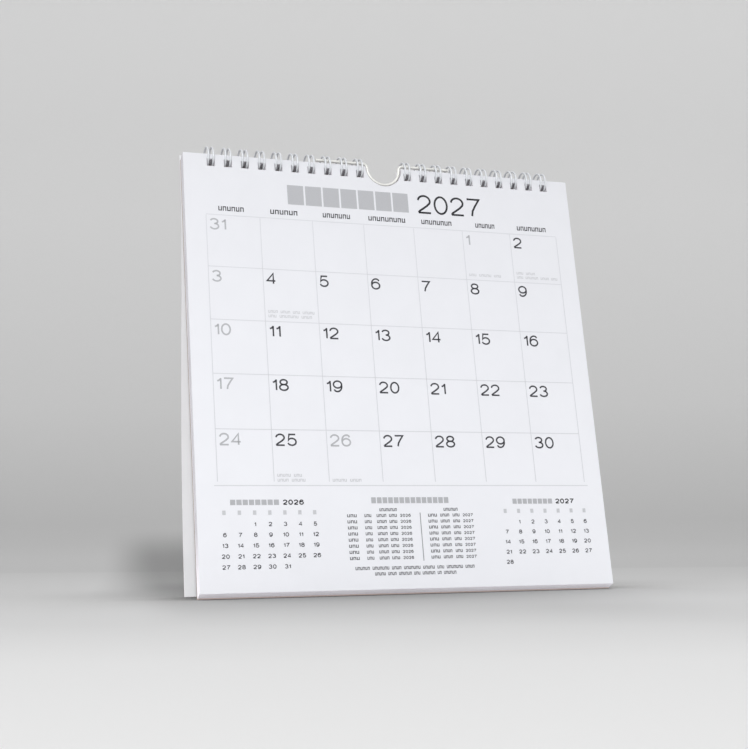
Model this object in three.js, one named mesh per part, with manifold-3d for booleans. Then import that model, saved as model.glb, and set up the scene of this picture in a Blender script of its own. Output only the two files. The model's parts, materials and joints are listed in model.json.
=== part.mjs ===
// A wire-bound monthly calendar standing open, with its front leaf turned over the rings
// to the back, where it props the block of pages. Millimetres, +Z up, front towards -Y.
//
// The pieces are built in the frame of the upright block and leaned back together:
// X runs along the binding, Y goes into the pages from the front sheet, and Z goes up
// the sheet from its bottom edge.

import * as THREE from 'three';
import { mergeVertices } from 'three/addons/utils/BufferGeometryUtils.js';
import Module from 'manifold-3d';

// Driving dimensions of the sheets
const pageWidth = 205;
const pageHeight = 212;
const pagesThickness = 4.6;
const boardThickness = 1.2;
const leafThickness = 0.5;
const stackSlip = 1.6;        // the board hangs this much lower than the front sheet
const leanDegrees = 11;
const footReach = 31;         // from the front sheet back to the turned leaf's foot
const leafTopShare = 0.75;    // how far out along the ring's half depth the leaf hangs
const upperPull = 0.3;        // lengths of the leaf's curve handles, as shares of its height
const lowerPull = 0.43;

// Driving dimensions of the punching, three holes to the inch
const holePitch = 25.4 / 3;
const holeWidth = 4;
const holeHeight = 3.8;
const holeMargin = 2.4;       // paper left between a hole and the top edge
const loopsPerSide = 10;
const middleGap = 3;          // pitches between the two holes beside the notch
const notchRadius = 9.5;
const notchDepth = 10;

// Driving dimensions of the wires
const wireDiameter = 1;
const ringHeight = 11.4;      // outside
const ringDepth = 11;         // outside
const ringBulge = 1.5;        // how far the rings stand out in front of the front sheet
const ringCentreDrop = 0.3;   // ring centre below the front sheet's top edge
const loopSpread = 2.45;      // between the two wires of one loop
const seamDegrees = -54;      // where the spine lies, counted from straight back, up positive
const seamGap = 0.35;         // between a loop's tip and the spine
const spineBend = 1;
const hangerDiameter = 1.5;
const hangerLength = 71;
const hangerSetBack = 1;      // the hanger's axis behind the front sheet
const hangerRise = 1.8;       // the hanger's axis above the front sheet's top edge
const clearance = 0.3;

// How finely curves are faceted
const wireSides = 6;
const ringSteps = 12;
const tipSteps = 4;
const bendSteps = 2;
const hangerSides = 8;
const leafSteps = 16;
const notchSteps = 16;
const fittingRounds = 8;      // corrections until the leaf is as long as a page
const shortestPiece = 1e-6;   // joins between arcs that are shorter than this are rounding

// Sizes worked out from the driving dimensions
const boardFront = pagesThickness + clearance;
const stackDepth = boardFront + boardThickness;
const slipRate = stackSlip / stackDepth;
const punchReach = 2 * stackDepth;
const ringReach = new THREE.Vector2(ringDepth - wireDiameter, ringHeight - wireDiameter).divideScalar(2);
const ringRadius = (ringReach.x + ringReach.y) / 2;
const ringCentre = new THREE.Vector2(ringDepth / 2 - ringBulge, pageHeight - ringCentreDrop);
const lean = THREE.MathUtils.degToRad(leanDegrees);

const wasm = await Module();
wasm.setup();

const finishes = {
  paper: { color: 0xf1f2f6, roughness: 0.62, metalness: 0 },
  board: { color: 0xa89c90, roughness: 0.85, metalness: 0 },
  cover: { color: 0xe4e5ea, roughness: 0.6, metalness: 0 },
  wire: { color: 0xc9ccd0, roughness: 0.28, metalness: 0.9 },
  hanger: { color: 0xe8e9ea, roughness: 0.35, metalness: 0.6 },
};

function namedMesh(name, geometry, finish) {
  const mesh = new THREE.Mesh(geometry, new THREE.MeshStandardMaterial(finishes[finish]));
  mesh.name = name;
  return mesh;
}

// Centre lines of the loops on one side, -1 for the left and 1 for the right, left to right
function loopCentres(side) {
  const fromMiddle = Array.from({ length: loopsPerSide }, (_, i) => (middleGap / 2 + i) * holePitch);
  return fromMiddle.map((x) => side * x).sort((a, b) => a - b);
}

const allCentres = [...loopCentres(-1), ...loopCentres(1)];

function toManifold(geometry) {
  const bare = geometry.clone();
  bare.deleteAttribute('normal');
  bare.deleteAttribute('uv');
  const merged = mergeVertices(bare);
  return new wasm.Manifold(new wasm.Mesh({
    numProp: 3,
    vertProperties: new Float32Array(merged.attributes.position.array),
    triVerts: new Uint32Array(merged.index.array),
  }));
}

function fromManifold(solid) {
  const mesh = solid.getMesh();
  const geometry = new THREE.BufferGeometry();
  geometry.setAttribute('position', new THREE.BufferAttribute(mesh.vertProperties, 3));
  geometry.setIndex(new THREE.BufferAttribute(mesh.triVerts, 1));
  const faceted = geometry.toNonIndexed();
  faceted.computeVertexNormals();
  return faceted;
}

// The punch's tools, drawn with the sheet's top edge at zero: the half-round notch, open
// at the top, and one square hole at each loop
function punchOutlines() {
  const notch = new THREE.Shape();
  notch.moveTo(notchRadius, notchDepth);
  notch.lineTo(-notchRadius, notchDepth);
  notch.absarc(0, notchRadius - notchDepth, notchRadius, Math.PI, 2 * Math.PI, false);
  notch.closePath();
  const middle = -holeMargin - holeHeight / 2;
  const holes = allCentres.map((x) => new THREE.Shape([
    new THREE.Vector2(x - holeWidth / 2, middle - holeHeight / 2),
    new THREE.Vector2(x + holeWidth / 2, middle - holeHeight / 2),
    new THREE.Vector2(x + holeWidth / 2, middle + holeHeight / 2),
    new THREE.Vector2(x - holeWidth / 2, middle + holeHeight / 2),
  ]));
  return [notch, ...holes];
}

// Cuts the notch and the holes square through a sheet whose top edge is at the given
// place, tilted back from upright by the given angle
function punched(sheet, top, tilt) {
  let solid = toManifold(sheet);
  for (const outline of punchOutlines()) {
    const tool = new THREE.ExtrudeGeometry(outline, {
      depth: punchReach, bevelEnabled: false, curveSegments: notchSteps,
    });
    tool.rotateX(Math.PI / 2).translate(0, punchReach / 2, 0).rotateX(tilt).translate(0, top.x, top.y);
    solid = solid.subtract(toManifold(tool));
  }
  return fromManifold(solid);
}

function flatSheet(thickness) {
  const sheet = new THREE.BoxGeometry(pageWidth, thickness, pageHeight);
  sheet.translate(0, thickness / 2, pageHeight / 2);
  return punched(sheet, new THREE.Vector2(thickness / 2, pageHeight), 0);
}

// The block of pages: every sheet hangs a little lower than the one in front of it
function frontPages() {
  const slip = new THREE.Matrix4().makeShear(0, 0, 0, -slipRate, 0, 0);
  return namedMesh('front_pages', flatSheet(pagesThickness).applyMatrix4(slip), 'paper');
}

function backingBoard() {
  const board = namedMesh('backing_board', flatSheet(boardThickness), 'board');
  board.position.set(0, boardFront, -stackSlip);
  return board;
}

// The side view of the turned leaf, as long as a page, from its top edge on the rings
// down to its foot on the surface that the board stands on
function leafCurve() {
  const boardBack = boardFront + boardThickness;
  const floorHeight = -stackSlip * Math.cos(lean) - boardBack * Math.sin(lean);
  const foot = (floorHeight + (footReach + leafThickness / 2) * Math.sin(lean)) / Math.cos(lean);
  const topY = ringCentre.x + ringReach.x * leafTopShare;
  const curveFrom = (topZ) => new THREE.CubicBezierCurve(
    new THREE.Vector2(topY, topZ),
    new THREE.Vector2(topY - leafThickness, topZ - pageHeight * upperPull),
    new THREE.Vector2(footReach, foot + pageHeight * lowerPull),
    new THREE.Vector2(footReach, foot),
  );
  let topZ = pageHeight;
  for (let round = 0; round < fittingRounds; round += 1) {
    topZ += pageHeight - curveFrom(topZ).getLength();
  }
  return curveFrom(topZ);
}

// The turned leaf: a thin bent sheet, punched square to its surface near the top edge
function coverLeaf() {
  const curve = leafCurve();
  const sideOf = (offset) => Array.from({ length: leafSteps + 1 }, (_, i) => {
    const point = curve.getPoint(i / leafSteps);
    const along = curve.getTangent(i / leafSteps);
    return new THREE.Vector2(point.x - along.y * offset, point.y + along.x * offset);
  });
  const back = sideOf(leafThickness / 2);
  const front = sideOf(-leafThickness / 2);
  const outline = new THREE.Shape([...back, ...front.reverse()]);
  const alongX = new THREE.Matrix4().makeBasis(
    new THREE.Vector3(0, 1, 0), new THREE.Vector3(0, 0, 1), new THREE.Vector3(1, 0, 0),
  );
  const sheet = new THREE.ExtrudeGeometry(outline, { depth: pageWidth, bevelEnabled: false });
  sheet.applyMatrix4(alongX).translate(-pageWidth / 2, 0, 0);

  const down = curve.getTangent(0);
  const tilt = Math.atan2(down.x, -down.y);
  return namedMesh('cover_leaf', punched(sheet, curve.getPoint(0), tilt), 'cover');
}

// A wire laid out flat and then placed in space by a function of its own. The stations
// of its sweep are shared out piece by piece, so that bends get as many as they need.
class FormedWire extends THREE.Curve {
  constructor(flat, stepsOf, placePoint) {
    super();
    const drawn = flat.curves.filter((curve) => curve.getLength() > shortestPiece);
    this.pieces = drawn.flatMap((curve) => {
      const steps = stepsOf(curve);
      return Array.from({ length: steps }, (_, i) => ({ curve, from: i / steps, to: (i + 1) / steps }));
    });
    this.placePoint = placePoint;
  }

  getPoint(t, target = new THREE.Vector3()) {
    const place = Math.min(t, 1) * this.pieces.length;
    const index = Math.min(Math.floor(place), this.pieces.length - 1);
    const piece = this.pieces[index];
    const at = piece.curve.getPoint(piece.from + (place - index) * (piece.to - piece.from));
    return target.copy(this.placePoint(at));
  }

  // Stations are even in the parameter, not in length
  getUtoTmapping(u) {
    return u;
  }
}

function sweptWire(path, diameter, sides) {
  const section = new THREE.Shape(Array.from({ length: sides }, (_, i) => new THREE.Vector2(
    (diameter / 2) * Math.cos((2 * Math.PI * i) / sides),
    (diameter / 2) * Math.sin((2 * Math.PI * i) / sides),
  )));
  return new THREE.ExtrudeGeometry(section, { steps: path.pieces.length, extrudePath: path });
}

// One twin-loop comb: a single wire bent into flat hairpins on a spine, then rolled into
// rings so that the hairpins' tips come round through the holes and back to the spine
function wireComb(name, side) {
  const centres = loopCentres(side);
  const half = loopSpread / 2;
  const roll = 2 * Math.PI - (wireDiameter + seamGap) / ringRadius;
  const tip = roll * ringRadius;
  const flat = new THREE.Path();
  flat.moveTo(centres[0] - half, 0);
  centres.forEach((x, i) => {
    flat.lineTo(x - half, tip - half);
    flat.absarc(x, tip - half, half, Math.PI, 0, true);
    const next = centres[i + 1];
    if (next === undefined) {
      flat.lineTo(x + half, 0);
      return;
    }
    flat.lineTo(x + half, spineBend);
    flat.absarc(x + half + spineBend, spineBend, spineBend, Math.PI, 1.5 * Math.PI, false);
    flat.lineTo(next - half - spineBend, 0);
    flat.absarc(next - half - spineBend, spineBend, spineBend, 1.5 * Math.PI, 2 * Math.PI, false);
  });
  const stepsOf = (curve) => {
    if (curve.isEllipseCurve) {
      return curve.xRadius === spineBend ? bendSteps : tipSteps;
    }
    return curve.v1.x === curve.v2.x ? ringSteps : 1;
  };
  const seam = THREE.MathUtils.degToRad(seamDegrees);
  const rolled = (p) => new THREE.Vector3(
    p.x,
    ringCentre.x + ringReach.x * Math.cos(seam + p.y / ringRadius),
    ringCentre.y + ringReach.y * Math.sin(seam + p.y / ringRadius),
  );
  const path = new FormedWire(flat, stepsOf, rolled);
  return namedMesh(name, sweptWire(path, wireDiameter, wireSides), 'wire');
}

// The wire hanger: two arms threaded through the middle rings, and between them a round
// bend that fits the notch with a clearance all round
function hangerWire() {
  const axisHeight = pageHeight + hangerRise;
  const loopRadius = notchRadius - clearance - hangerDiameter / 2;
  const loopCentre = pageHeight - notchDepth + notchRadius;
  const shoulder = axisHeight - loopCentre;
  const flat = new THREE.Path();
  flat.moveTo(-hangerLength / 2, axisHeight);
  flat.lineTo(-loopRadius - shoulder, axisHeight);
  flat.absarc(-loopRadius - shoulder, loopCentre, shoulder, Math.PI / 2, 0, true);
  flat.absarc(0, loopCentre, loopRadius, Math.PI, 2 * Math.PI, false);
  flat.absarc(loopRadius + shoulder, loopCentre, shoulder, Math.PI, Math.PI / 2, true);
  flat.lineTo(hangerLength / 2, axisHeight);
  const stepsOf = (curve) => {
    if (!curve.isEllipseCurve) {
      return 1;
    }
    return curve.xRadius === loopRadius ? 3 * tipSteps : tipSteps;
  };
  const upright = (p) => new THREE.Vector3(p.x, hangerSetBack, p.y);
  const path = new FormedWire(flat, stepsOf, upright);
  return namedMesh('hanger_wire', sweptWire(path, hangerDiameter, hangerSides), 'hanger');
}

const calendar = new THREE.Group();
calendar.rotation.x = -lean;
calendar.add(
  frontPages(),
  backingBoard(),
  coverLeaf(),
  wireComb('left_wire_comb', -1),
  wireComb('right_wire_comb', 1),
  hangerWire(),
);

// The origin is at the middle of the footprint, on the surface that the calendar stands on
const model = new THREE.Group();
model.add(calendar);
model.updateMatrixWorld(true);
const extent = new THREE.Box3().setFromObject(model, true);
calendar.position.set(
  -(extent.min.x + extent.max.x) / 2,
  -(extent.min.y + extent.max.y) / 2,
  -extent.min.z,
);

export default model;
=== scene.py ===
# The looks of a wire-bound monthly calendar that stands open on a pale floor.
# Lengths inside the calendar are in millimetres in the frame of the upright block, as in
# the CAD source: x along the binding, y into the pages, z up the sheet. place() leans
# them back with the CAD block and turns them into metres. The stage, the lamps and the camera
# are in metres.

import json
import math
import random

import bpy
from mathutils import Matrix, Vector
from mathutils.geometry import delaunay_2d_cdt


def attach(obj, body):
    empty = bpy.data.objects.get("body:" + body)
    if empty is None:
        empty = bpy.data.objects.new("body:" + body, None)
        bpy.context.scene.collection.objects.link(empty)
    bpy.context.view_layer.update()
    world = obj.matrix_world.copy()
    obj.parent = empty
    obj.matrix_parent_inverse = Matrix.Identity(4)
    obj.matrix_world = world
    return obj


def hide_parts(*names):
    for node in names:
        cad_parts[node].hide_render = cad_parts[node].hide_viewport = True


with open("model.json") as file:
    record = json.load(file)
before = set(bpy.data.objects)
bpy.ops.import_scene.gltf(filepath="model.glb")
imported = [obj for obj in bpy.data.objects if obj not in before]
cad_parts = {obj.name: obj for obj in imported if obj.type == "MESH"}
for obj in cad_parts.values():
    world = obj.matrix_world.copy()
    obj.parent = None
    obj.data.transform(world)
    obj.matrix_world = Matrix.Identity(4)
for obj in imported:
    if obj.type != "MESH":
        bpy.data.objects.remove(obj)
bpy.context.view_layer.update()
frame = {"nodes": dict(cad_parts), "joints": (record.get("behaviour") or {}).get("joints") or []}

MM = 0.001                          # metres in a millimetre
PICTURE_WHITE = 255

# Sheets
PAGE_WIDTH = 205
PAGE_HEIGHT = 212
PAGES_THICKNESS = 4.6
BOARD_THICKNESS = 1.2
LEAF_THICKNESS = 0.5
CLEARANCE = 0.3
STACK_SLIP = 1.6                    # how far the hindmost sheet hangs below the front one
LEAN = math.radians(11)
FOOT_REACH = 31                     # from the front sheet back to the turned leaf's foot
LEAF_TOP_SHARE = 0.75               # where the leaf hangs in the rings, as a share of half their depth
UPPER_PULL = 0.3                    # how long the leaf's curve keeps its direction at the rings
LOWER_PULL = 0.43                   # and at its foot, as shares of the page's height
LEAF_CURVE_STEPS = 240
LEAF_LENGTH_ROUNDS = 8              # tries that bring the curve to a page's length
LEAF_STEPS = 44                     # even steps of the leaf's length
LEAF_BENDS = 41                     # it bends after each of these, but not near the holes
SHEET_COUNT = 14
SHEET_GAP = 0.03                    # of air between one sheet and the next
SHEET_SHIFT_ACROSS = 0.12           # the most that a sheet lies out of line
SHEET_SHIFT_UP = 0.06
SHEET_SEED = 7
CREASE_ANGLE = math.radians(40)     # smooth shading stops at edges sharper than this
PLAN_TOLERANCE = 1e-5
ROUNDING = 1e-9

# Punching
HOLE_PITCH = 25.4 / 3               # three holes to the inch
HOLE_WIDTH = 4
HOLE_HEIGHT = 3.8
HOLE_MARGIN = 2.4                   # paper left between the holes and the top edge
LOOPS_PER_SIDE = 10
MIDDLE_GAP = 3                      # in pitches, from the last hole on the left to the first on the right
NOTCH_RADIUS = 9.5
NOTCH_DEPTH = 10
NOTCH_STEPS = 28

# Wires
WIRE_DIAMETER = 1
RING_HEIGHT = 11.4
RING_DEPTH = 11
RING_BULGE = 1.5                    # how far the rings stand out in front of the page
RING_CENTRE_DROP = 0.3              # their centre below the page's top edge
RING_STEPS = 48
LOOP_SPREAD = 2.45                  # between the two wires of one loop
SEAM = math.radians(-54)            # where the loops' tips meet the spine, behind the block
SEAM_GAP = 0.35
SPINE_BEND = 1
WIRE_ROUNDNESS = 4
LOOP_TIP_STEPS = 12
SPINE_BEND_STEPS = 6
HANGER_DIAMETER = 1.5
HANGER_LENGTH = 71
HANGER_SET_BACK = 1
HANGER_RISE = 1.8                   # its straight arms above the page's top edge
HANGER_SHOULDER_STEPS = 12
HANGER_BEND_STEPS = 40

BOARD_FRONT = PAGES_THICKNESS + CLEARANCE
STACK_DEPTH = BOARD_FRONT + BOARD_THICKNESS
SLIP_RATE = STACK_SLIP / STACK_DEPTH
RING_HALF_DEPTH = (RING_DEPTH - WIRE_DIAMETER) / 2
RING_HALF_HEIGHT = (RING_HEIGHT - WIRE_DIAMETER) / 2
RING_RADIUS = (RING_HALF_DEPTH + RING_HALF_HEIGHT) / 2
RING_Y = RING_DEPTH / 2 - RING_BULGE
RING_Z = PAGE_HEIGHT - RING_CENTRE_DROP
HOLE_MIDDLE = PAGE_HEIGHT - HOLE_MARGIN - HOLE_HEIGHT / 2
NOTCH_MIDDLE = PAGE_HEIGHT - NOTCH_DEPTH + NOTCH_RADIUS

# The printed month is a grid of squares. Places in the print are counted in squares, to the
# right and down from the grid's left top corner.
DAYS_IN_WEEK = 7
GRID = 26.4                         # a square's height in millimetres
GRID_ACROSS = 26.5                  # and its width
GRID_MARGIN = 1.19                  # from the page's top down to the grid, in squares
GRID_LEFT = -DAYS_IN_WEEK / 2 * GRID
GRID_TOP = PAGE_HEIGHT - GRID_MARGIN * GRID
GRID_ROWS = 5
GRID_FOOT = 4.93                    # where the upright lines end
GRID_LINE = 0.014
FOOT_LINE_OVERHANG = 0.06
INK_RISE = 0.03                     # between the paper and the ink, in millimetres
INK_DEPTH = 0.02

# Heading: the month as a row of bars, the year, and the names of the days
HEADING_TOP = -0.687
HEADING_FOOT = -0.30
MONTH_LEFT = 1.55
MONTH_RIGHT = 3.97
MONTH_BARS = 7
MONTH_BAR_SHARE = 0.9               # of each bar's place
YEAR = 2027
YEAR_LEFT = 4.117
WEEKDAY_TOP = -0.172
WEEKDAY_FOOT = -0.085
# Middle, width and number of letters of each day's name
WEEKDAYS = ((0.477, 0.487, 6), (1.47, 0.533, 6), (2.483, 0.547, 7), (3.483, 0.753, 9),
            (4.49, 0.633, 8), (5.497, 0.413, 6), (6.49, 0.633, 8))

# Dates, and the notes at the foot of some squares
FIRST_COLUMN = 5                    # the month's first day, in a week that starts at 0
LAST_DAY = 30
SPARE_DAY = 31                      # the last day, printed in the first square
PALE_DAYS = {1, 3, 10, 17, 24, 26}
DATE_LEFT = 0.058
DATE_TOP = 0.07
DATE_FOOT = 0.295
NOTE_HEIGHT = 0.05
# Left end, top and width of each note, and the letters of each of its words
NOTES = ((5.063, 0.873, 0.67, (3, 5, 3)), (6.063, 0.787, 0.40, (3, 4)),
         (6.063, 0.873, 0.87, (3, 6, 4, 3)), (1.063, 1.787, 0.87, (4, 4, 3, 5)),
         (1.063, 1.873, 0.82, (3, 7, 4)), (1.063, 4.793, 0.45, (5, 3)),
         (1.063, 4.88, 0.51, (4, 5)), (2.063, 4.88, 0.54, (5, 4)))

# The two small months: middle of the first column, both ends of the name, its number of bars,
# the year, the column of the first day and the number of days
SMALL_MONTHS = ((0.088, 0.203, 1.083, 8, 2026, 2, 31), (5.317, 5.483, 6.303, 8, 2027, 1, 28))
SMALL_NAME_TOP = 5.247
SMALL_NAME_HEIGHT = 0.093
SMALL_BAR_SHARE = 0.82
SMALL_YEAR_GAP = 0.05
SMALL_WEEKDAY_TOP = 5.435
SMALL_WEEKDAY_FOOT = 5.51
SMALL_WEEKDAY_HALF = 0.03           # half the width of the mark that stands for a day's name
SMALL_COLUMN = 0.2678
SMALL_ROW = 0.183
SMALL_FIRST_ROW = 5.673
SMALL_DIGIT = 0.075

# The table of dates in the middle of the foot. Its title, rule and lower lines are each given
# by left, top, right and bottom, and its headings and words by both ends and their letters.
TABLE_TITLE = (2.75, 5.213, 4.237, 5.32)
TABLE_TITLE_BARS = 14
TABLE_HEADINGS = ((2.89, 3.223, 8), (4.11, 4.39, 6))
TABLE_HEADING_TOP = 5.41
TABLE_HEADING_FOOT = 5.463
TABLE_RULE = (3.645, 5.493, 3.66, 6.353)
TABLE_LOWER_LINES = (
    (2.37, 6.443, 4.617, 6.497, (6, 7, 4, 7, 5, 3, 7, 4)),
    (2.723, 6.543, 4.257, 6.597, (5, 4, 6, 3, 6, 2, 6)),
)
TABLE_ROWS = 8
TABLE_FIRST_ROW = 5.54
TABLE_ROW = 0.1076
TABLE_WORDS = ((2.283, 2.47, 3), (2.603, 2.737, 3), (2.83, 3.017, 4), (3.063, 3.217, 3),
               (3.803, 3.983, 3), (4.037, 4.217, 4), (4.277, 4.417, 3))
TABLE_YEARS = ((2026, 3.27), (2027, 4.47))
TABLE_WORD_HALF = 0.026
TABLE_YEAR_HALF = 0.027

# Digits
DIGIT_WIDTH = 0.75                  # of the height, for a full-width digit
DIGIT_GAP = 0.13
DIGIT_WIDTHS = {"1": 0.5}           # of a full-width digit
SHARPEST_MITRE = 0.5                # keeps the outer corner of a sharp turn from growing long
# The weight of the stroke, as a share of the height, and the width against the usual one
YEAR_STYLE = (0.1, 1.005)
DATE_STYLE = (0.13, 1.08)
SMALL_YEAR_STYLE = (0.21, 1.2)
SMALL_DATE_STYLE = (0.18, 1.12)
TABLE_YEAR_STYLE = (0.19, 1.1)

# Small arches that stand for letters
ARCH_SHARE = 0.8                    # of each letter's place
ARCH_STEM = 0.22
ARCH_BAR = 0.22

# How fine the mottling of each finish is: patches to the metre, and layers of finer detail
PAPER_CLOUDS = (60, 3)
PAPER_GRAIN = (2600, 6)
CARD_FLECKS = (900, 8)
CARD_GRAIN = (1800, 6)
WIRE_PATCHES = (700, 3)
WIRE_SHEEN = (1500, 4)
INK_PATCHES = (4000, 2)
GRAIN_STRETCH = (1, 1, 2.5)
FLECK_STRETCH = (1, 4, 1)
MOTTLE_ENDS = (0.3, 0.7)            # where the mottling is all dark, and all light
INK_ENDS = (0.35, 0.75)
SHEEN_ENDS = (0.8, 1.25)            # the wires' roughness, as shares of its middle value
# How much a surface's grain shades it, and its depth in metres
PAPER_BUMP = (0.12, 0.00003)
CARD_BUMP = (0.3, 0.00008)

# Painted light and shade on the paper: its tone at the foot and at the top of the sheet, as shares of its
# own
PAPER_FOOT_PAINTED_LIGHT = 1.04
PAPER_TOP_PAINTED_SHADE = 0.87
EDGE_GLOW_REACH = 0.03              # metres above the floor that the painted glow reaches on the cut pages
BOARD_GLOW_REACH = 0.002            # and the board's foot

# The stage is a floor that turns up into a backdrop. Its brightness, 0 to 255, is painted along the sweep
# as light and shade, darkest where the floor turns up: metres of floor in front of the bend are
# counted below zero, and height up the backdrop above zero.
STAGE_TONES = (
    (-0.76, 232), (-0.63, 229), (-0.50, 216), (-0.38, 213), (-0.26, 212), (-0.16, 209),
    (-0.07, 206), (-0.02, 205), (0.005, 199), (0.018, 191), (0.033, 187), (0.066, 191),
    (0.14, 201), (0.243, 207), (0.348, 212), (0.54, 215),
)
STAGE_HALF_WIDTH = 3.0
STAGE_NEAR = -2.0
STAGE_HIGH = 3.0
STAGE_BEND = 0.45                   # radius of the bend between floor and backdrop
STAGE_BEND_START = 0.3
STAGE_BEND_STEPS = 24
CONTACT_REACH = 0.1                 # of the painted contact shade close to anything on the floor
CONTACT_SAMPLES = 8

# Two soft shades painted into the stage's colour, beside the calendar's left edge and in front of its
# block. Each has its depth, and then where it starts and is full: on its left and right across the
# sweep, and on its near and far side along it.
SHADE_SLANT = 0.173
PAINTED_SHADES = (
    (0.45, (-0.15, -0.108), (0.05, -0.02), (-0.38, -0.22), (0.031, 0.004)),
    (0.17, (-0.13, -0.1), (0.13, 0.03), (-0.53, -0.40), (-0.15, -0.25)),
)

# Lamps: place, size and power. All of them face the middle of the calendar.
LAMP_TARGET = (0, 0, 0.1)
LAMPS = {
    "key": ((-0.8, -2.4, 1.5), 0.5, 47.5),
    "left_fill": ((-1.5, -0.6, 0.6), 1.0, 5),
    "right_fill": ((1.6, -0.8, 0.9), 1.0, 5),
    "top": ((0.0, 0.1, 1.9), 1.8, 7),
}
AMBIENT = 0.22                      # even light from all round
AMBIENT_SEEN_IN_METAL = 0.9         # the same light in reflections

CAMERA_PLACE = (-0.2426, -0.6399, 0.0352)
CAMERA_AZIMUTH = math.radians(19.857)      # turned from +Y towards +X
CAMERA_ELEVATION = math.radians(5.803)
CAMERA_ROLL = math.radians(-0.484)
CAMERA_LENS = 68.07
CAMERA_SENSOR = 36
CAMERA_NEAREST = 0.01

joints = {joint["name"]: joint for joint in frame["joints"]}


def leaned(x, y, z):
    """A direction or offset in the block's frame, turned into the row frame."""
    return Vector((
        x,
        y * math.cos(LEAN) + z * math.sin(LEAN),
        -y * math.sin(LEAN) + z * math.cos(LEAN),
    ))


BLOCK_ORIGIN = Vector(joints["leaf_turn"]["pos_m"]) - leaned(0, RING_Y, RING_Z) * MM


def place(x, y, z):
    """A point of the block's frame, in millimetres, as a place in metres."""
    return BLOCK_ORIGIN + leaned(x, y, z) * MM


# Materials

def linear(level):
    """One channel of a screen colour as the light that it stands for."""
    level = level / PICTURE_WHITE
    return level / 12.92 if level <= 0.04045 else ((level + 0.055) / 1.055) ** 2.4


def tone(red, green=None, blue=None):
    """A colour as it is seen on a screen, 0 to 255, as the linear colour that shaders use."""
    green = red if green is None else green
    blue = red if blue is None else blue
    return (linear(red), linear(green), linear(blue), 1)


class Finish:
    """A material under construction: a Principled shader and helpers to add nodes."""

    def __init__(self, name, roughness, metallic=0.0, specular=0.3):
        self.material = bpy.data.materials.new(name)
        self.material.use_nodes = True
        self.nodes = self.material.node_tree.nodes
        self.links = self.material.node_tree.links
        self.shader = self.nodes["Principled BSDF"]
        self.shader.inputs["Roughness"].default_value = roughness
        self.shader.inputs["Metallic"].default_value = metallic
        self.shader.inputs["Specular IOR Level"].default_value = specular
        self.place = self.nodes.new("ShaderNodeTexCoord").outputs["Object"]

    def noise(self, fineness, stretch=(1, 1, 1)):
        """Fine mottling over the surface, from 0 to 1."""
        scale, detail = fineness
        mapping = self.nodes.new("ShaderNodeMapping")
        mapping.inputs["Scale"].default_value = stretch
        self.links.new(self.place, mapping.inputs["Vector"])
        noise = self.nodes.new("ShaderNodeTexNoise")
        noise.inputs["Scale"].default_value = scale
        noise.inputs["Detail"].default_value = detail
        self.links.new(mapping.outputs["Vector"], noise.inputs["Vector"])
        return noise.outputs["Fac"]

    def colours(self, factor, stops):
        """The base colour along a ramp of places and colours."""
        stops = list(stops)
        ramp = self.nodes.new("ShaderNodeValToRGB")
        elements = ramp.color_ramp.elements
        while len(elements) < len(stops):
            elements.new(0.5)
        for element, (position, colour) in zip(elements, stops):
            element.position = position
            element.color = colour
        self.links.new(factor, ramp.inputs["Fac"])
        self.links.new(ramp.outputs["Color"], self.shader.inputs["Base Color"])
        return ramp

    def separate(self, axis):
        """One coordinate of the place on the surface."""
        axes = self.nodes.new("ShaderNodeSeparateXYZ")
        self.links.new(self.place, axes.inputs["Vector"])
        return axes.outputs[axis]

    def mapped(self, value, at_zero, at_reach, reach=1.0):
        """A value that goes evenly from one number at zero to another at the reach."""
        spread = self.nodes.new("ShaderNodeMapRange")
        spread.inputs["From Max"].default_value = reach
        spread.inputs["To Min"].default_value = at_zero
        spread.inputs["To Max"].default_value = at_reach
        self.links.new(value, spread.inputs["Value"])
        return spread.outputs["Result"]

    def calculate(self, operation, *values):
        """A sum on values that are either other nodes' outputs or plain numbers."""
        node = self.nodes.new("ShaderNodeMath")
        node.operation = operation
        for socket, value in zip(node.inputs, values):
            if isinstance(value, (int, float)):
                socket.default_value = value
            else:
                self.links.new(value, socket)
        return node.outputs[0]

    def step(self, value, start, full):
        """A smooth rise from 0 at one value to 1 at another."""
        step = self.nodes.new("ShaderNodeMapRange")
        step.interpolation_type = "SMOOTHSTEP"
        rising = start < full
        step.inputs["From Min"].default_value = start if rising else full
        step.inputs["From Max"].default_value = full if rising else start
        step.inputs["To Min"].default_value = 0 if rising else 1
        step.inputs["To Max"].default_value = 1 if rising else 0
        self.links.new(value, step.inputs["Value"])
        return step.outputs["Result"]

    def product(self, factors):
        """All the factors multiplied together."""
        result = factors[0]
        for factor in factors[1:]:
            result = self.calculate("MULTIPLY", result, factor)
        return result

    def dim(self, colour, factor):
        """The base colour as one colour times a factor."""
        dimmed = self.nodes.new("ShaderNodeVectorMath")
        dimmed.operation = "SCALE"
        self.links.new(colour, dimmed.inputs[0])
        self.links.new(factor, dimmed.inputs["Scale"])
        self.links.new(dimmed.outputs["Vector"], self.shader.inputs["Base Color"])

    def floor_glow(self, colour, strength, reach):
        """A painted glow in place of the light thrown up by the floor, strongest at the floor and gone at
        the reach.
        """
        fall = self.mapped(self.separate("Z"), strength, 0, reach)
        self.shader.inputs["Emission Color"].default_value = colour
        self.links.new(fall, self.shader.inputs["Emission Strength"])

    def roughness(self, factor, low, high):
        """A roughness that varies between two values."""
        self.links.new(self.mapped(factor, low, high), self.shader.inputs["Roughness"])

    def bump(self, height, strength, distance):
        """A surface that is slightly uneven."""
        bump = self.nodes.new("ShaderNodeBump")
        bump.inputs["Strength"].default_value = strength
        bump.inputs["Distance"].default_value = distance
        self.links.new(height, bump.inputs["Height"])
        self.links.new(bump.outputs["Normal"], self.shader.inputs["Normal"])


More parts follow.
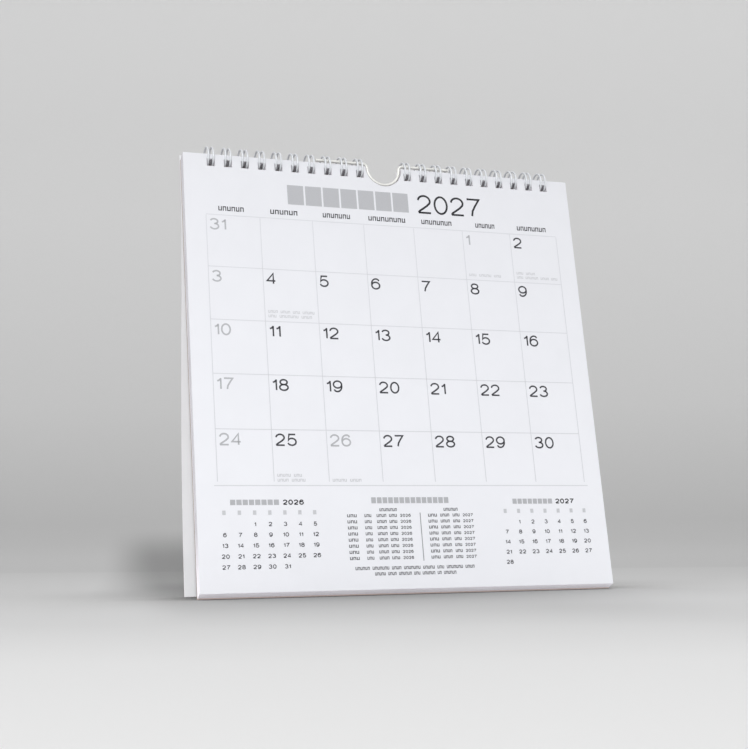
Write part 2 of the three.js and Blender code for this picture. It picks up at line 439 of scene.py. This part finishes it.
def paper(name, light, dark, roughness=0.55, glow=0.0):
    """Paper, painted darker at the top and lighter at the foot to look evenly lit, perhaps with a painted
    glow low down.
    """
    finish = Finish(name, roughness, specular=0.25)
    ramp = finish.colours(finish.noise(PAPER_CLOUDS), zip(MOTTLE_ENDS, (dark, light)))
    # The tone is painted lighter at the foot and darker up the sheet, in place of even light
    share = finish.mapped(
        finish.separate("Z"), PAPER_FOOT_PAINTED_LIGHT, PAPER_TOP_PAINTED_SHADE, PAGE_HEIGHT * MM)
    finish.dim(ramp.outputs["Color"], share)
    # A painted glow low down stands in for light thrown up by the floor
    if glow:
        finish.floor_glow(light, glow, EDGE_GLOW_REACH)
    finish.bump(finish.noise(PAPER_GRAIN, GRAIN_STRETCH), *PAPER_BUMP)
    return finish.material


def board_card(name):
    """Grey card with flecks that lie along it, and a painted glow at its foot for light from the floor.
    """
    finish = Finish(name, roughness=0.85, specular=0.2)
    finish.colours(finish.noise(CARD_FLECKS, FLECK_STRETCH), [
        (0.25, tone(178, 163, 155)), (0.5, tone(192, 178, 170)), (0.8, tone(205, 193, 186)),
    ])
    finish.floor_glow(tone(205, 190, 186), strength=0.5, reach=BOARD_GLOW_REACH)
    finish.bump(finish.noise(CARD_GRAIN), *CARD_BUMP)
    return finish.material


def bright_wire(name, light, dark, roughness, metallic, glow):
    """Plated wire; a painted glow of its own lightens its shaded side, in place of the light from a white
    room around it.
    """
    finish = Finish(name, roughness, metallic=metallic, specular=0.5)
    finish.shader.inputs["Emission Color"].default_value = light
    finish.shader.inputs["Emission Strength"].default_value = glow
    finish.colours(finish.noise(WIRE_PATCHES), zip(MOTTLE_ENDS, (dark, light)))
    finish.roughness(finish.noise(WIRE_SHEEN), *(roughness * share for share in SHEEN_ENDS))
    return finish.material


def ink(name, colour, fade):
    """Printer's ink, a little uneven."""
    finish = Finish(name, roughness=0.5, specular=0.25)
    finish.colours(finish.noise(INK_PATCHES), zip(INK_ENDS, (colour, fade)))
    return finish.material


PAPER = paper("page_paper", tone(237, 238, 243), tone(235, 236, 241))
# The cut edges carry a painted glow near the floor, for light that the floor throws up
PAPER_EDGE = paper("page_edges", tone(222, 217, 221), tone(206, 200, 205),
                   roughness=0.7, glow=0.92)
COVER = paper("cover_paper", tone(246, 247, 250), tone(243, 244, 247))
BOARD = board_card("grey_board")
# The wires' glow is painted light on their shaded side
WIRE = bright_wire("comb_wire", tone(200, 202, 205), tone(186, 189, 193),
                   roughness=0.6, metallic=0.5, glow=0.2)
HANGER = bright_wire("hanger_wire_finish", tone(217, 217, 214), tone(204, 204, 200),
                     roughness=0.5, metallic=0.5, glow=0.08)
INKS = {
    "black": ink("ink_black", tone(38, 38, 42), tone(48, 48, 52)),
    "dark": ink("ink_dark", tone(58, 58, 63), tone(68, 68, 73)),
    "middle": ink("ink_middle", tone(140, 140, 145), tone(150, 150, 155)),
    "grey": ink("ink_grey", tone(176, 177, 181), tone(184, 185, 189)),
    "pale": ink("ink_pale", tone(196, 197, 201), tone(204, 205, 209)),
    "line": ink("ink_line", tone(208, 209, 214), tone(214, 215, 220)),
}


# Meshes

def new_object(name, vertices, faces, materials, smooth=False):
    """A mesh object in the scene; smooth shading keeps its edges crisp."""
    mesh = bpy.data.meshes.new(name)
    mesh.from_pydata(vertices, [], faces)
    for material in materials:
        mesh.materials.append(material)
    mesh.update()
    if smooth:
        mesh.polygons.foreach_set("use_smooth", [True] * len(mesh.polygons))
        mesh.set_sharp_from_angle(angle=CREASE_ANGLE)
    piece = bpy.data.objects.new(name, mesh)
    bpy.context.scene.collection.objects.link(piece)
    return piece


def loop_centres():
    """Where the rings are along the binding."""
    offsets = [(MIDDLE_GAP / 2 + i) * HOLE_PITCH for i in range(LOOPS_PER_SIDE)]
    return sorted([-x for x in offsets] + offsets)


def notch_points():
    """The half round of the notch, from right to left."""
    turn = [math.pi * i / NOTCH_STEPS for i in range(NOTCH_STEPS + 1)]
    return [(NOTCH_RADIUS * math.cos(-a), NOTCH_MIDDLE + NOTCH_RADIUS * math.sin(-a)) for a in turn]


def on_paper(x, z):
    """Whether a point of the flat sheet lies on paper and not in the notch or a hole."""
    from_notch = math.hypot(x, z - NOTCH_MIDDLE)
    if abs(x) < NOTCH_RADIUS and (z > NOTCH_MIDDLE or from_notch < NOTCH_RADIUS):
        return False
    if abs(z - HOLE_MIDDLE) < HOLE_HEIGHT / 2:
        return all(abs(x - centre) > HOLE_WIDTH / 2 for centre in loop_centres())
    return True


def sheet_plan(rows=()):
    """The flat sheet as points and triangles, with extra rows to bend it along."""
    half = PAGE_WIDTH / 2
    loops = [[(-half, 0), (half, 0), (half, PAGE_HEIGHT), (NOTCH_RADIUS, PAGE_HEIGHT)]
             + notch_points() + [(-NOTCH_RADIUS, PAGE_HEIGHT), (-half, PAGE_HEIGHT)]]
    for x in loop_centres():
        low, high = HOLE_MIDDLE - HOLE_HEIGHT / 2, HOLE_MIDDLE + HOLE_HEIGHT / 2
        left, right = x - HOLE_WIDTH / 2, x + HOLE_WIDTH / 2
        loops.append([(left, low), (right, low), (right, high), (left, high)])
    points, edges = [], []
    for loop in loops:
        start = len(points)
        points += loop
        edges += [(start + i, start + (i + 1) % len(loop)) for i in range(len(loop))]
    for z in rows:
        edges.append((len(points), len(points) + 1))
        points += [(-half, z), (half, z)]
    flat = [Vector(point) for point in points]
    made, _, faces, _, _, _ = delaunay_2d_cdt(flat, edges, [], 0, PLAN_TOLERANCE)
    kept = []
    for face in faces:
        x = sum(made[i].x for i in face) / len(face)
        z = sum(made[i].y for i in face) / len(face)
        if on_paper(x, z):
            kept.append(list(face))
    return [(point.x, point.y) for point in made], kept


def sheet_solid(plan, front, back):
    """Points, faces and side faces of a sheet whose two surfaces are given as functions."""
    flat, faces = plan
    used = sorted({i for face in faces for i in face})
    index = {old: new for new, old in enumerate(used)}
    faces = [[index[i] for i in face] for face in faces]
    points = [front(*flat[i]) for i in used] + [back(*flat[i]) for i in used]
    count = len(used)
    border = {}
    for face in faces:
        for a, b in zip(face, face[1:] + face[:1]):
            border[(a, b)] = border.get((a, b), 0) + 1
    sides = [(b, a, a + count, b + count) for a, b in border if (b, a) not in border]
    backs = [[i + count for i in reversed(face)] for face in faces]
    return points, [list(face) for face in faces] + backs, sides


def sheet_object(name, solids, materials, smooth=False):
    """One object from several sheets, with the second material on their cut edges."""
    points, faces, edge_flags = [], [], []
    for made, flats, sides in solids:
        start = len(points)
        points += made
        faces += [[i + start for i in face] for face in flats]
        edge_flags += [0] * len(flats)
        faces += [[i + start for i in side] for side in sides]
        edge_flags += [1] * len(sides)
    piece = new_object(name, points, faces, materials, smooth)
    piece.data.polygons.foreach_set("material_index", edge_flags)
    return piece


def wire_object(name, points, diameter, material):
    """A round wire along a line of points."""
    curve = bpy.data.curves.new(name, "CURVE")
    curve.dimensions = "3D"
    curve.bevel_depth = diameter / 2 * MM
    curve.bevel_resolution = WIRE_ROUNDNESS
    curve.use_fill_caps = True
    spline = curve.splines.new("POLY")
    spline.points.add(len(points) - 1)
    for target, point in zip(spline.points, points):
        target.co = (*point, 1)
    curve.materials.append(material)
    piece = bpy.data.objects.new(name, curve)
    bpy.context.scene.collection.objects.link(piece)
    return piece


def arc(centre, radius, start, end, steps):
    """Points of an arc in the plane, angles in turns of a circle."""
    angles = [2 * math.pi * (start + (end - start) * i / steps) for i in range(steps + 1)]
    return [(centre[0] + radius * math.cos(a), centre[1] + radius * math.sin(a)) for a in angles]


# Sheets of the block

def slipped(y):
    """How far a sheet has slid along its own plane, by its depth in the block."""
    return -SLIP_RATE * y


def month_sheets():
    """The sheets behind the front one, each a hair out of line with the next."""
    rng = random.Random(SHEET_SEED)
    plan = sheet_plan()
    pitch = PAGES_THICKNESS / SHEET_COUNT
    solids = []
    for i in range(1, SHEET_COUNT):
        shift_x = rng.uniform(-SHEET_SHIFT_ACROSS, SHEET_SHIFT_ACROSS)
        shift_z = rng.uniform(-SHEET_SHIFT_UP, SHEET_SHIFT_UP)
        near, far = i * pitch + SHEET_GAP, (i + 1) * pitch
        middle = (near + far) / 2

        def surface(y):
            return lambda x, z: place(x + shift_x, y, z + shift_z + slipped(middle))

        solids.append(sheet_solid(plan, surface(near), surface(far)))
    return sheet_object("month_sheets", solids, [PAPER, PAPER_EDGE])


def front_sheet():
    """The sheet that carries the print."""
    plan = sheet_plan()
    thickness = PAGES_THICKNESS / SHEET_COUNT
    solid = sheet_solid(
        plan,
        lambda x, z: place(x, 0, z),
        lambda x, z: place(x, thickness, z),
    )
    return sheet_object("front_sheet", [solid], [PAPER, PAPER_EDGE])


def bezier(points, t):
    """A point of the curve that four points in a plane pull into shape."""
    a, b, c, d = points
    s = 1 - t
    return tuple(
        s ** 3 * a[k] + 3 * s * s * t * b[k] + 3 * s * t * t * c[k] + t ** 3 * d[k] for k in (0, 1)
    )


def leaf_line():
    """Points down the middle of the turned leaf, with the distance from its top edge."""
    floor = -STACK_SLIP * math.cos(LEAN) - STACK_DEPTH * math.sin(LEAN)
    foot = (floor + (FOOT_REACH + LEAF_THICKNESS / 2) * math.sin(LEAN)) / math.cos(LEAN)
    top_y = RING_Y + RING_HALF_DEPTH * LEAF_TOP_SHARE
    top_z = PAGE_HEIGHT
    # The curve's top is moved until the whole curve is one page long
    for _ in range(LEAF_LENGTH_ROUNDS):
        controls = (
            (top_y, top_z),
            (top_y - LEAF_THICKNESS, top_z - PAGE_HEIGHT * UPPER_PULL),
            (FOOT_REACH, foot + PAGE_HEIGHT * LOWER_PULL),
            (FOOT_REACH, foot),
        )
        line = [bezier(controls, i / LEAF_CURVE_STEPS) for i in range(LEAF_CURVE_STEPS + 1)]
        lengths = [0.0]
        for a, b in zip(line, line[1:]):
            lengths.append(lengths[-1] + math.dist(a, b))
        top_z += PAGE_HEIGHT - lengths[-1]
    return line, lengths


def cover_leaf():
    """The turned leaf, bent smoothly from the rings down to its foot."""
    line, lengths = leaf_line()
    rows = [PAGE_HEIGHT * i / LEAF_STEPS for i in range(1, LEAF_BENDS + 1)]
    plan = sheet_plan(rows=rows)

    def surface(offset):
        def point(x, z):
            along = min(max(PAGE_HEIGHT - z, 0), lengths[-1])
            i = next(k for k in range(1, len(lengths)) if lengths[k] >= along - ROUNDING)
            share = (along - lengths[i - 1]) / (lengths[i] - lengths[i - 1])
            a, b = line[i - 1], line[i]
            step_y, step_z = (b[0] - a[0]) / math.dist(a, b), (b[1] - a[1]) / math.dist(a, b)
            y = a[0] + (b[0] - a[0]) * share - step_z * offset
            z = a[1] + (b[1] - a[1]) * share + step_y * offset
            return place(x, y, z)
        return point

    half = LEAF_THICKNESS / 2
    solid = sheet_solid(plan, surface(-half), surface(half))
    return sheet_object("turned_leaf", [solid], [COVER, PAPER_EDGE], smooth=True)


# Wires

def comb_points(side):
    """The comb's wire: flat hairpins on a spine, rolled into rings."""
    centres = [x for x in loop_centres() if x * side > 0]
    half = LOOP_SPREAD / 2
    tip = (2 * math.pi - (WIRE_DIAMETER + SEAM_GAP) / RING_RADIUS) * RING_RADIUS
    flat = []
    for i, x in enumerate(centres):
        foot = 0 if i == 0 else SPINE_BEND
        rise = tip - half - foot
        flat += [(x - half, foot + rise * k / RING_STEPS) for k in range(RING_STEPS)]
        flat += arc((x, tip - half), half, 0.5, 0, LOOP_TIP_STEPS)
        foot = 0 if i == len(centres) - 1 else SPINE_BEND
        rise = tip - half - foot
        flat += [(x + half, tip - half - rise * k / RING_STEPS) for k in range(1, RING_STEPS)]
        if i == len(centres) - 1:
            flat.append((x + half, 0))
            continue
        after = centres[i + 1] - half
        before = x + half
        flat += arc((before + SPINE_BEND, SPINE_BEND), SPINE_BEND, 0.5, 0.75, SPINE_BEND_STEPS)
        flat += arc((after - SPINE_BEND, SPINE_BEND), SPINE_BEND, 0.75, 1, SPINE_BEND_STEPS)[:-1]
    return [
        place(
            x,
            RING_Y + RING_HALF_DEPTH * math.cos(SEAM + s / RING_RADIUS),
            RING_Z + RING_HALF_HEIGHT * math.sin(SEAM + s / RING_RADIUS),
        )
        for x, s in flat
    ]


def hanger_points():
    """The hanger's wire: two straight arms and a round bend that lies in the notch."""
    axis = PAGE_HEIGHT + HANGER_RISE
    radius = NOTCH_RADIUS - CLEARANCE - HANGER_DIAMETER / 2
    shoulder = axis - NOTCH_MIDDLE
    left, right = -radius - shoulder, radius + shoulder
    flat = [(-HANGER_LENGTH / 2, axis)]
    flat += arc((left, NOTCH_MIDDLE), shoulder, 0.25, 0, HANGER_SHOULDER_STEPS)[:-1]
    flat += arc((0, NOTCH_MIDDLE), radius, 0.5, 1, HANGER_BEND_STEPS)
    flat += arc((right, NOTCH_MIDDLE), shoulder, 0.5, 0.25, HANGER_SHOULDER_STEPS)[1:]
    flat.append((HANGER_LENGTH / 2, axis))
    return [place(x, HANGER_SET_BACK, z) for x, z in flat]


# Print, each colour of ink gathered into one piece

class Print:
    """Closed thin shapes of one ink on the front sheet."""

    def __init__(self):
        self.points = []
        self.faces = []

    def add(self, points, faces):
        """More points, and faces that are counted from the first of them."""
        start = len(self.points)
        self.points += points
        self.faces += [[i + start for i in face] for face in faces]

    def block(self, left, top, right, bottom):
        """A bar between two corners given in squares of the grid."""
        x0, x1 = GRID_LEFT + left * GRID_ACROSS, GRID_LEFT + right * GRID_ACROSS
        z0, z1 = GRID_TOP - bottom * GRID, GRID_TOP - top * GRID
        near, far = -INK_RISE - INK_DEPTH, -INK_RISE
        corners = [(x0, z0), (x1, z0), (x1, z1), (x0, z1)]
        points = [place(x, near, z) for x, z in corners] + [place(x, far, z) for x, z in corners]
        faces = [(0, 1, 2, 3), (7, 6, 5, 4), (0, 4, 5, 1), (1, 5, 6, 2), (2, 6, 7, 3), (3, 7, 4, 0)]
        self.add(points, faces)

    def word(self, left, top, right, bottom, letters):
        """A word as a row of small arches, open upwards and downwards in turn."""
        step = (right - left) / letters
        stem = step * ARCH_STEM
        bar = (bottom - top) * ARCH_BAR
        for i in range(letters):
            start, end = left + i * step, left + (i + ARCH_SHARE) * step
            self.block(start, top, start + stem, bottom)
            self.block(end - stem, top, end, bottom)
            middle = (top, top + bar) if i % 2 else (bottom - bar, bottom)
            self.block(start + stem, middle[0], end - stem, middle[1])

    def sentence(self, left, top, right, bottom, lengths):
        """A line of words, each given by its number of letters, one letter's width apart."""
        step = (right - left) / (sum(lengths) + len(lengths) - 1)
        for letters in lengths:
            self.word(left, top, left + letters * step, bottom, letters)
            left += (letters + 1) * step

    def bars(self, left, top, right, bottom, count, share):
        """A heavy word as a row of plain bars."""
        step = (right - left) / count
        for i in range(count):
            self.block(left + i * step, top, left + (i + share) * step, bottom)

    def stroke(self, line, thickness, closed):
        """A flat band of even thickness along a line of points, in millimetres."""
        count = len(line)
        sides = []
        for i, (x, z) in enumerate(line):
            before = line[i - 1] if closed or i > 0 else line[i]
            after = line[(i + 1) % count] if closed or i < count - 1 else line[i]
            step = Vector((x - before[0], z - before[1]))
            next_step = Vector((after[0] - x, after[1] - z))
            step = step.normalized() if step.length else next_step.normalized()
            next_step = next_step.normalized() if next_step.length else step
            along = (step + next_step).normalized()
            mitre = max(along.dot(step), SHARPEST_MITRE)
            sides.append(Vector((-along.y, along.x)) * (thickness / 2 / mitre))
        left = [(x + side.x, z + side.y) for (x, z), side in zip(line, sides)]
        right = [(x - side.x, z - side.y) for (x, z), side in zip(line, sides)]
        near, far = -INK_RISE - INK_DEPTH, -INK_RISE
        points = [place(x, depth, z) for depth in (near, far) for x, z in left + right]
        faces = []
        for i in range(count if closed else count - 1):
            j = (i + 1) % count
            front = (i, j, count + j, count + i)
            back = tuple(2 * count + k for k in reversed(front))
            faces += [front, back, (i, 2 * count + i, 2 * count + j, j),
                      (count + i, count + j, 3 * count + j, 3 * count + i)]
        if not closed:
            last = count - 1
            faces += [(0, count, 3 * count, 2 * count),
                      (last, 2 * count + last, 3 * count + last, count + last)]
        self.add(points, faces)

    def number(self, value, across_at, top, bottom, style, centred=False):
        """Digits between two heights, from a left edge or about a centre line."""
        weight, spread = style
        height = (bottom - top) * GRID
        thickness = height * weight
        across = height * spread
        text = str(value)
        widths = [DIGIT_WIDTHS.get(digit, 1) * DIGIT_WIDTH for digit in text]
        start = GRID_LEFT + across_at * GRID_ACROSS
        if centred:
            start -= (sum(widths) + DIGIT_GAP * (len(text) - 1)) * across / 2
        base = GRID_TOP - bottom * GRID
        for digit, width in zip(text, widths):
            for line, closed in DIGITS[digit]:
                mapped = [
                    (start + thickness / 2 + x * (width * across - thickness),
                     base + thickness / 2 + z * (height - thickness))
                    for x, z in line
                ]
                self.stroke(mapped, thickness, closed)
            start += (width + DIGIT_GAP) * across


def oval(centre, half_width, half_height, start, end, steps):
    """Points of an oval arc, angles in degrees."""
    angles = [math.radians(start + (end - start) * i / steps) for i in range(steps + 1)]
    return [(centre[0] + half_width * math.cos(a), centre[1] + half_height * math.sin(a))
            for a in angles]


def turned(lines):
    """The same lines turned half way round, which makes a nine of a six."""
    return [([(1 - x, 1 - z) for x, z in line], closed) for line, closed in lines]


# The digits' centre lines in a box one wide and one high
SIX = [
    (oval((0.5, 0.33), 0.5, 0.33, 0, 352, 22), True),
    (oval((0.56, 0.5), 0.56, 0.5, 190, 62, 12) + [(0.93, 0.8)], False),
]
DIGITS = {
    "0": [(oval((0.5, 0.5), 0.5, 0.5, 0, 350, 24), True)],
    "1": [([(1, 0), (1, 1)], False), ([(0.95, 0.93), (0.7, 0.83), (0.3, 0.76), (0, 0.74)], False)],
    "2": [(oval((0.5, 0.7), 0.48, 0.3, 175, -25, 14)
           + [(0.72, 0.42), (0.38, 0.24), (0.1, 0.1), (0, 0)], False), ([(0, 0), (1, 0)], False)],
    "3": [(oval((0.47, 0.76), 0.43, 0.24, 165, -88, 14), False),
          (oval((0.48, 0.27), 0.5, 0.27, 88, -165, 16), False)],
    "4": [([(0.76, 0), (0.76, 1), (0, 0.28), (1, 0.28)], False)],
    "5": [([(0.92, 1), (0.18, 1), (0.06, 0.46)]
           + oval((0.48, 0.32), 0.5, 0.32, 135, -160, 16), False)],
    "6": SIX,
    "7": [([(0, 1), (1, 1), (0.66, 0.62), (0.42, 0.3), (0.34, 0)], False)],
    "8": [(oval((0.5, 0.765), 0.42, 0.235, 0, 350, 20), True),
          (oval((0.5, 0.27), 0.5, 0.27, 0, 350, 22), True)],
    "9": turned(SIX),
}

prints = {name: Print() for name in INKS}


def print_heading():
    """The month, the year and the names of the days, above the grid."""
    prints["grey"].bars(MONTH_LEFT, HEADING_TOP, MONTH_RIGHT, HEADING_FOOT, MONTH_BARS,
                        MONTH_BAR_SHARE)
    prints["black"].number(YEAR, YEAR_LEFT, HEADING_TOP, HEADING_FOOT, YEAR_STYLE)
    for middle, width, letters in WEEKDAYS:
        left, right = middle - width / 2, middle + width / 2
        prints["dark"].word(left, WEEKDAY_TOP, right, WEEKDAY_FOOT, letters)


def print_grid():
    """The lines between the squares; the lowest one is a little longer than the rest."""
    half = GRID_LINE / 2
    for row in range(GRID_ROWS + 1):
        reach = FOOT_LINE_OVERHANG if row == GRID_ROWS else 0
        prints["line"].block(-reach, row - half, DAYS_IN_WEEK + reach, row + half)
    for column in range(DAYS_IN_WEEK + 1):
        prints["line"].block(column - half, GRID_LINE, column + half, GRID_FOOT)


def print_dates():
    """A number in the left top corner of each square."""
    squares = [(day, day - 1 + FIRST_COLUMN) for day in range(1, LAST_DAY + 1)]
    for day, square in squares + [(SPARE_DAY, 0)]:
        row, column = divmod(square, DAYS_IN_WEEK)
        kind = "grey" if day in PALE_DAYS or day == SPARE_DAY else "dark"
        prints[kind].number(day, column + DATE_LEFT, row + DATE_TOP, row + DATE_FOOT, DATE_STYLE)


def print_notes():
    """Small words at the foot of some squares."""
    for left, top, width, lengths in NOTES:
        prints["pale"].sentence(left, top, left + width, top + NOTE_HEIGHT, lengths)


def print_small_month(left, name_left, name_right, bars, year, first_column, days):
    """A small month at the foot of the page."""
    top, foot = SMALL_NAME_TOP, SMALL_NAME_TOP + SMALL_NAME_HEIGHT
    prints["grey"].bars(name_left, top, name_right, foot, bars, SMALL_BAR_SHARE)
    prints["black"].number(year, name_right + SMALL_YEAR_GAP, top, foot, SMALL_YEAR_STYLE)
    for column in range(DAYS_IN_WEEK):
        middle = left + column * SMALL_COLUMN
        prints["pale"].block(middle - SMALL_WEEKDAY_HALF, SMALL_WEEKDAY_TOP,
                             middle + SMALL_WEEKDAY_HALF, SMALL_WEEKDAY_FOOT)
    for day in range(1, days + 1):
        row, column = divmod(day - 1 + first_column, DAYS_IN_WEEK)
        top = SMALL_FIRST_ROW + row * SMALL_ROW - SMALL_DIGIT / 2
        prints["dark"].number(day, left + column * SMALL_COLUMN, top, top + SMALL_DIGIT,
                              SMALL_DATE_STYLE, centred=True)


def print_table():
    """The table of dates, with its title above it and two lines of words below."""
    prints["grey"].bars(*TABLE_TITLE, TABLE_TITLE_BARS, SMALL_BAR_SHARE)
    for start, end, letters in TABLE_HEADINGS:
        prints["dark"].word(start, TABLE_HEADING_TOP, end, TABLE_HEADING_FOOT, letters)
    prints["middle"].block(*TABLE_RULE)
    for row in range(TABLE_ROWS):
        middle = TABLE_FIRST_ROW + row * TABLE_ROW
        for start, end, letters in TABLE_WORDS:
            prints["dark"].word(start, middle - TABLE_WORD_HALF, end, middle + TABLE_WORD_HALF,
                                letters)
        for year, left in TABLE_YEARS:
            prints["dark"].number(year, left, middle - TABLE_YEAR_HALF, middle + TABLE_YEAR_HALF,
                                  TABLE_YEAR_STYLE)
    for line in TABLE_LOWER_LINES:
        prints["dark"].sentence(*line)


def page_print():
    """Everything that is printed on the front sheet, one piece for each ink."""
    print_heading()
    print_grid()
    print_dates()
    print_notes()
    for small_month in SMALL_MONTHS:
        print_small_month(*small_month)
    print_table()
    return [new_object(f"print_{name}", made.points, made.faces, [INKS[name]])
            for name, made in prints.items()]


# Stage, light and camera

def stage_material():
    """Pale grey, with light and shade painted along the sweep, painted shades near the calendar and a
    painted contact shade.
    """
    finish = Finish("stage_grey", roughness=0.9, specular=0.1)
    across, back, height = (finish.separate(axis) for axis in "XYZ")
    ahead = finish.calculate("MINIMUM", finish.calculate("SUBTRACT", back, STAGE_BEND_START), 0)
    along = finish.calculate("ADD", ahead, height)
    first, last = STAGE_TONES[0][0], STAGE_TONES[-1][0]
    share = finish.calculate("DIVIDE", finish.calculate("SUBTRACT", along, first), last - first)
    # Painted light and shade along the sweep, darkest where the floor turns up
    ramp = finish.colours(share, [
        ((place_along - first) / (last - first), tone(level)) for place_along, level in STAGE_TONES
    ])

    # An ambient occlusion node paints contact shade into the stage's colour
    painted_contact_shade = finish.nodes.new("ShaderNodeAmbientOcclusion")
    painted_contact_shade.inputs["Distance"].default_value = CONTACT_REACH
    painted_contact_shade.samples = CONTACT_SAMPLES

    slanted = finish.calculate("MULTIPLY_ADD", back, SHADE_SLANT, across)
    light = [painted_contact_shade.outputs["AO"]]
    # Painted shades, each darkening the stage's colour by its depth
    for depth, left, right, near, far in PAINTED_SHADES:
        shade = finish.product([
            finish.step(slanted, *left), finish.step(slanted, *right),
            finish.step(along, *near), finish.step(along, *far),
        ])
        light.append(finish.calculate("MULTIPLY_ADD", shade, -depth, 1))
    # The painted contact shade and painted shades darken the ramp's colour
    finish.dim(ramp.outputs["Color"], finish.product(light))
    return finish.material


def stage():
    """A floor that turns up into a backdrop in one sweep, square to the camera."""
    profile = [(STAGE_NEAR, 0.0), (STAGE_BEND_START, 0.0)]
    for i in range(1, STAGE_BEND_STEPS + 1):
        turn = math.pi / 2 * i / STAGE_BEND_STEPS
        profile.append((STAGE_BEND_START + STAGE_BEND * math.sin(turn),
                        STAGE_BEND - STAGE_BEND * math.cos(turn)))
    profile.append((STAGE_BEND_START + STAGE_BEND, STAGE_HIGH))
    points = [(x, y, z) for y, z in profile for x in (-STAGE_HALF_WIDTH, STAGE_HALF_WIDTH)]
    faces = [(2 * i, 2 * i + 1, 2 * i + 3, 2 * i + 2) for i in range(len(profile) - 1)]
    floor = new_object("stage_sweep", points, faces, [stage_material()], smooth=True)
    floor.rotation_euler.z = -CAMERA_AZIMUTH


def lights():
    """Soft square lamps, and an even light from all round."""
    for name, (place_at, size, power) in LAMPS.items():
        light = bpy.data.lights.new(name, "AREA")
        light.shape = "RECTANGLE"
        light.size = light.size_y = size
        light.energy = power
        lamp = bpy.data.objects.new(name, light)
        lamp.location = place_at
        aim = Vector(LAMP_TARGET) - Vector(place_at)
        lamp.rotation_euler = aim.to_track_quat("-Z", "Y").to_euler()
        bpy.context.scene.collection.objects.link(lamp)

    world = bpy.data.worlds.new("studio")
    world.use_nodes = True
    nodes, links = world.node_tree.nodes, world.node_tree.links
    background = nodes["Background"]
    background.inputs["Color"].default_value = (1, 1, 1, 1)
    path = nodes.new("ShaderNodeLightPath")
    strength = nodes.new("ShaderNodeMapRange")
    strength.inputs["To Min"].default_value = AMBIENT
    strength.inputs["To Max"].default_value = AMBIENT_SEEN_IN_METAL
    links.new(path.outputs["Is Glossy Ray"], strength.inputs["Value"])
    links.new(strength.outputs["Result"], background.inputs["Strength"])
    bpy.context.scene.world = world


def camera():
    """The view of the photo: from the left, low down and a little upwards."""
    data = bpy.data.cameras.new("camera")
    data.lens = CAMERA_LENS
    data.sensor_width = CAMERA_SENSOR
    data.sensor_fit = "HORIZONTAL"
    data.clip_start = CAMERA_NEAREST
    eye = bpy.data.objects.new("camera", data)
    turn = Matrix.Rotation(-CAMERA_AZIMUTH, 4, "Z")
    raise_up = Matrix.Rotation(math.pi / 2 + CAMERA_ELEVATION, 4, "X")
    roll = Matrix.Rotation(CAMERA_ROLL, 4, "Z")
    eye.matrix_world = Matrix.Translation(CAMERA_PLACE) @ turn @ raise_up @ roll
    bpy.context.scene.collection.objects.link(eye)
    bpy.context.scene.camera = eye


camera()
bpy.context.scene.view_settings.view_transform = "Standard"

for board_slot in frame["nodes"]["backing_board"].material_slots:
    board_slot.material = BOARD

pages = month_sheets()
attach(pages, "block")
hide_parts("front_pages")

top_sheet = front_sheet()
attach(top_sheet, "block")

for ink_piece in page_print():
    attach(ink_piece, "block")

leaf = cover_leaf()
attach(leaf, "leaf")
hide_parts("cover_leaf")

for side, label in ((-1, "left"), (1, "right")):
    comb = wire_object(f"{label}_comb", comb_points(side), WIRE_DIAMETER, WIRE)
    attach(comb, "block")
    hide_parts(f"{label}_wire_comb")

hanger = wire_object("hanger", hanger_points(), HANGER_DIAMETER, HANGER)
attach(hanger, "hanger")
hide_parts("hanger_wire")

stage()
lights()
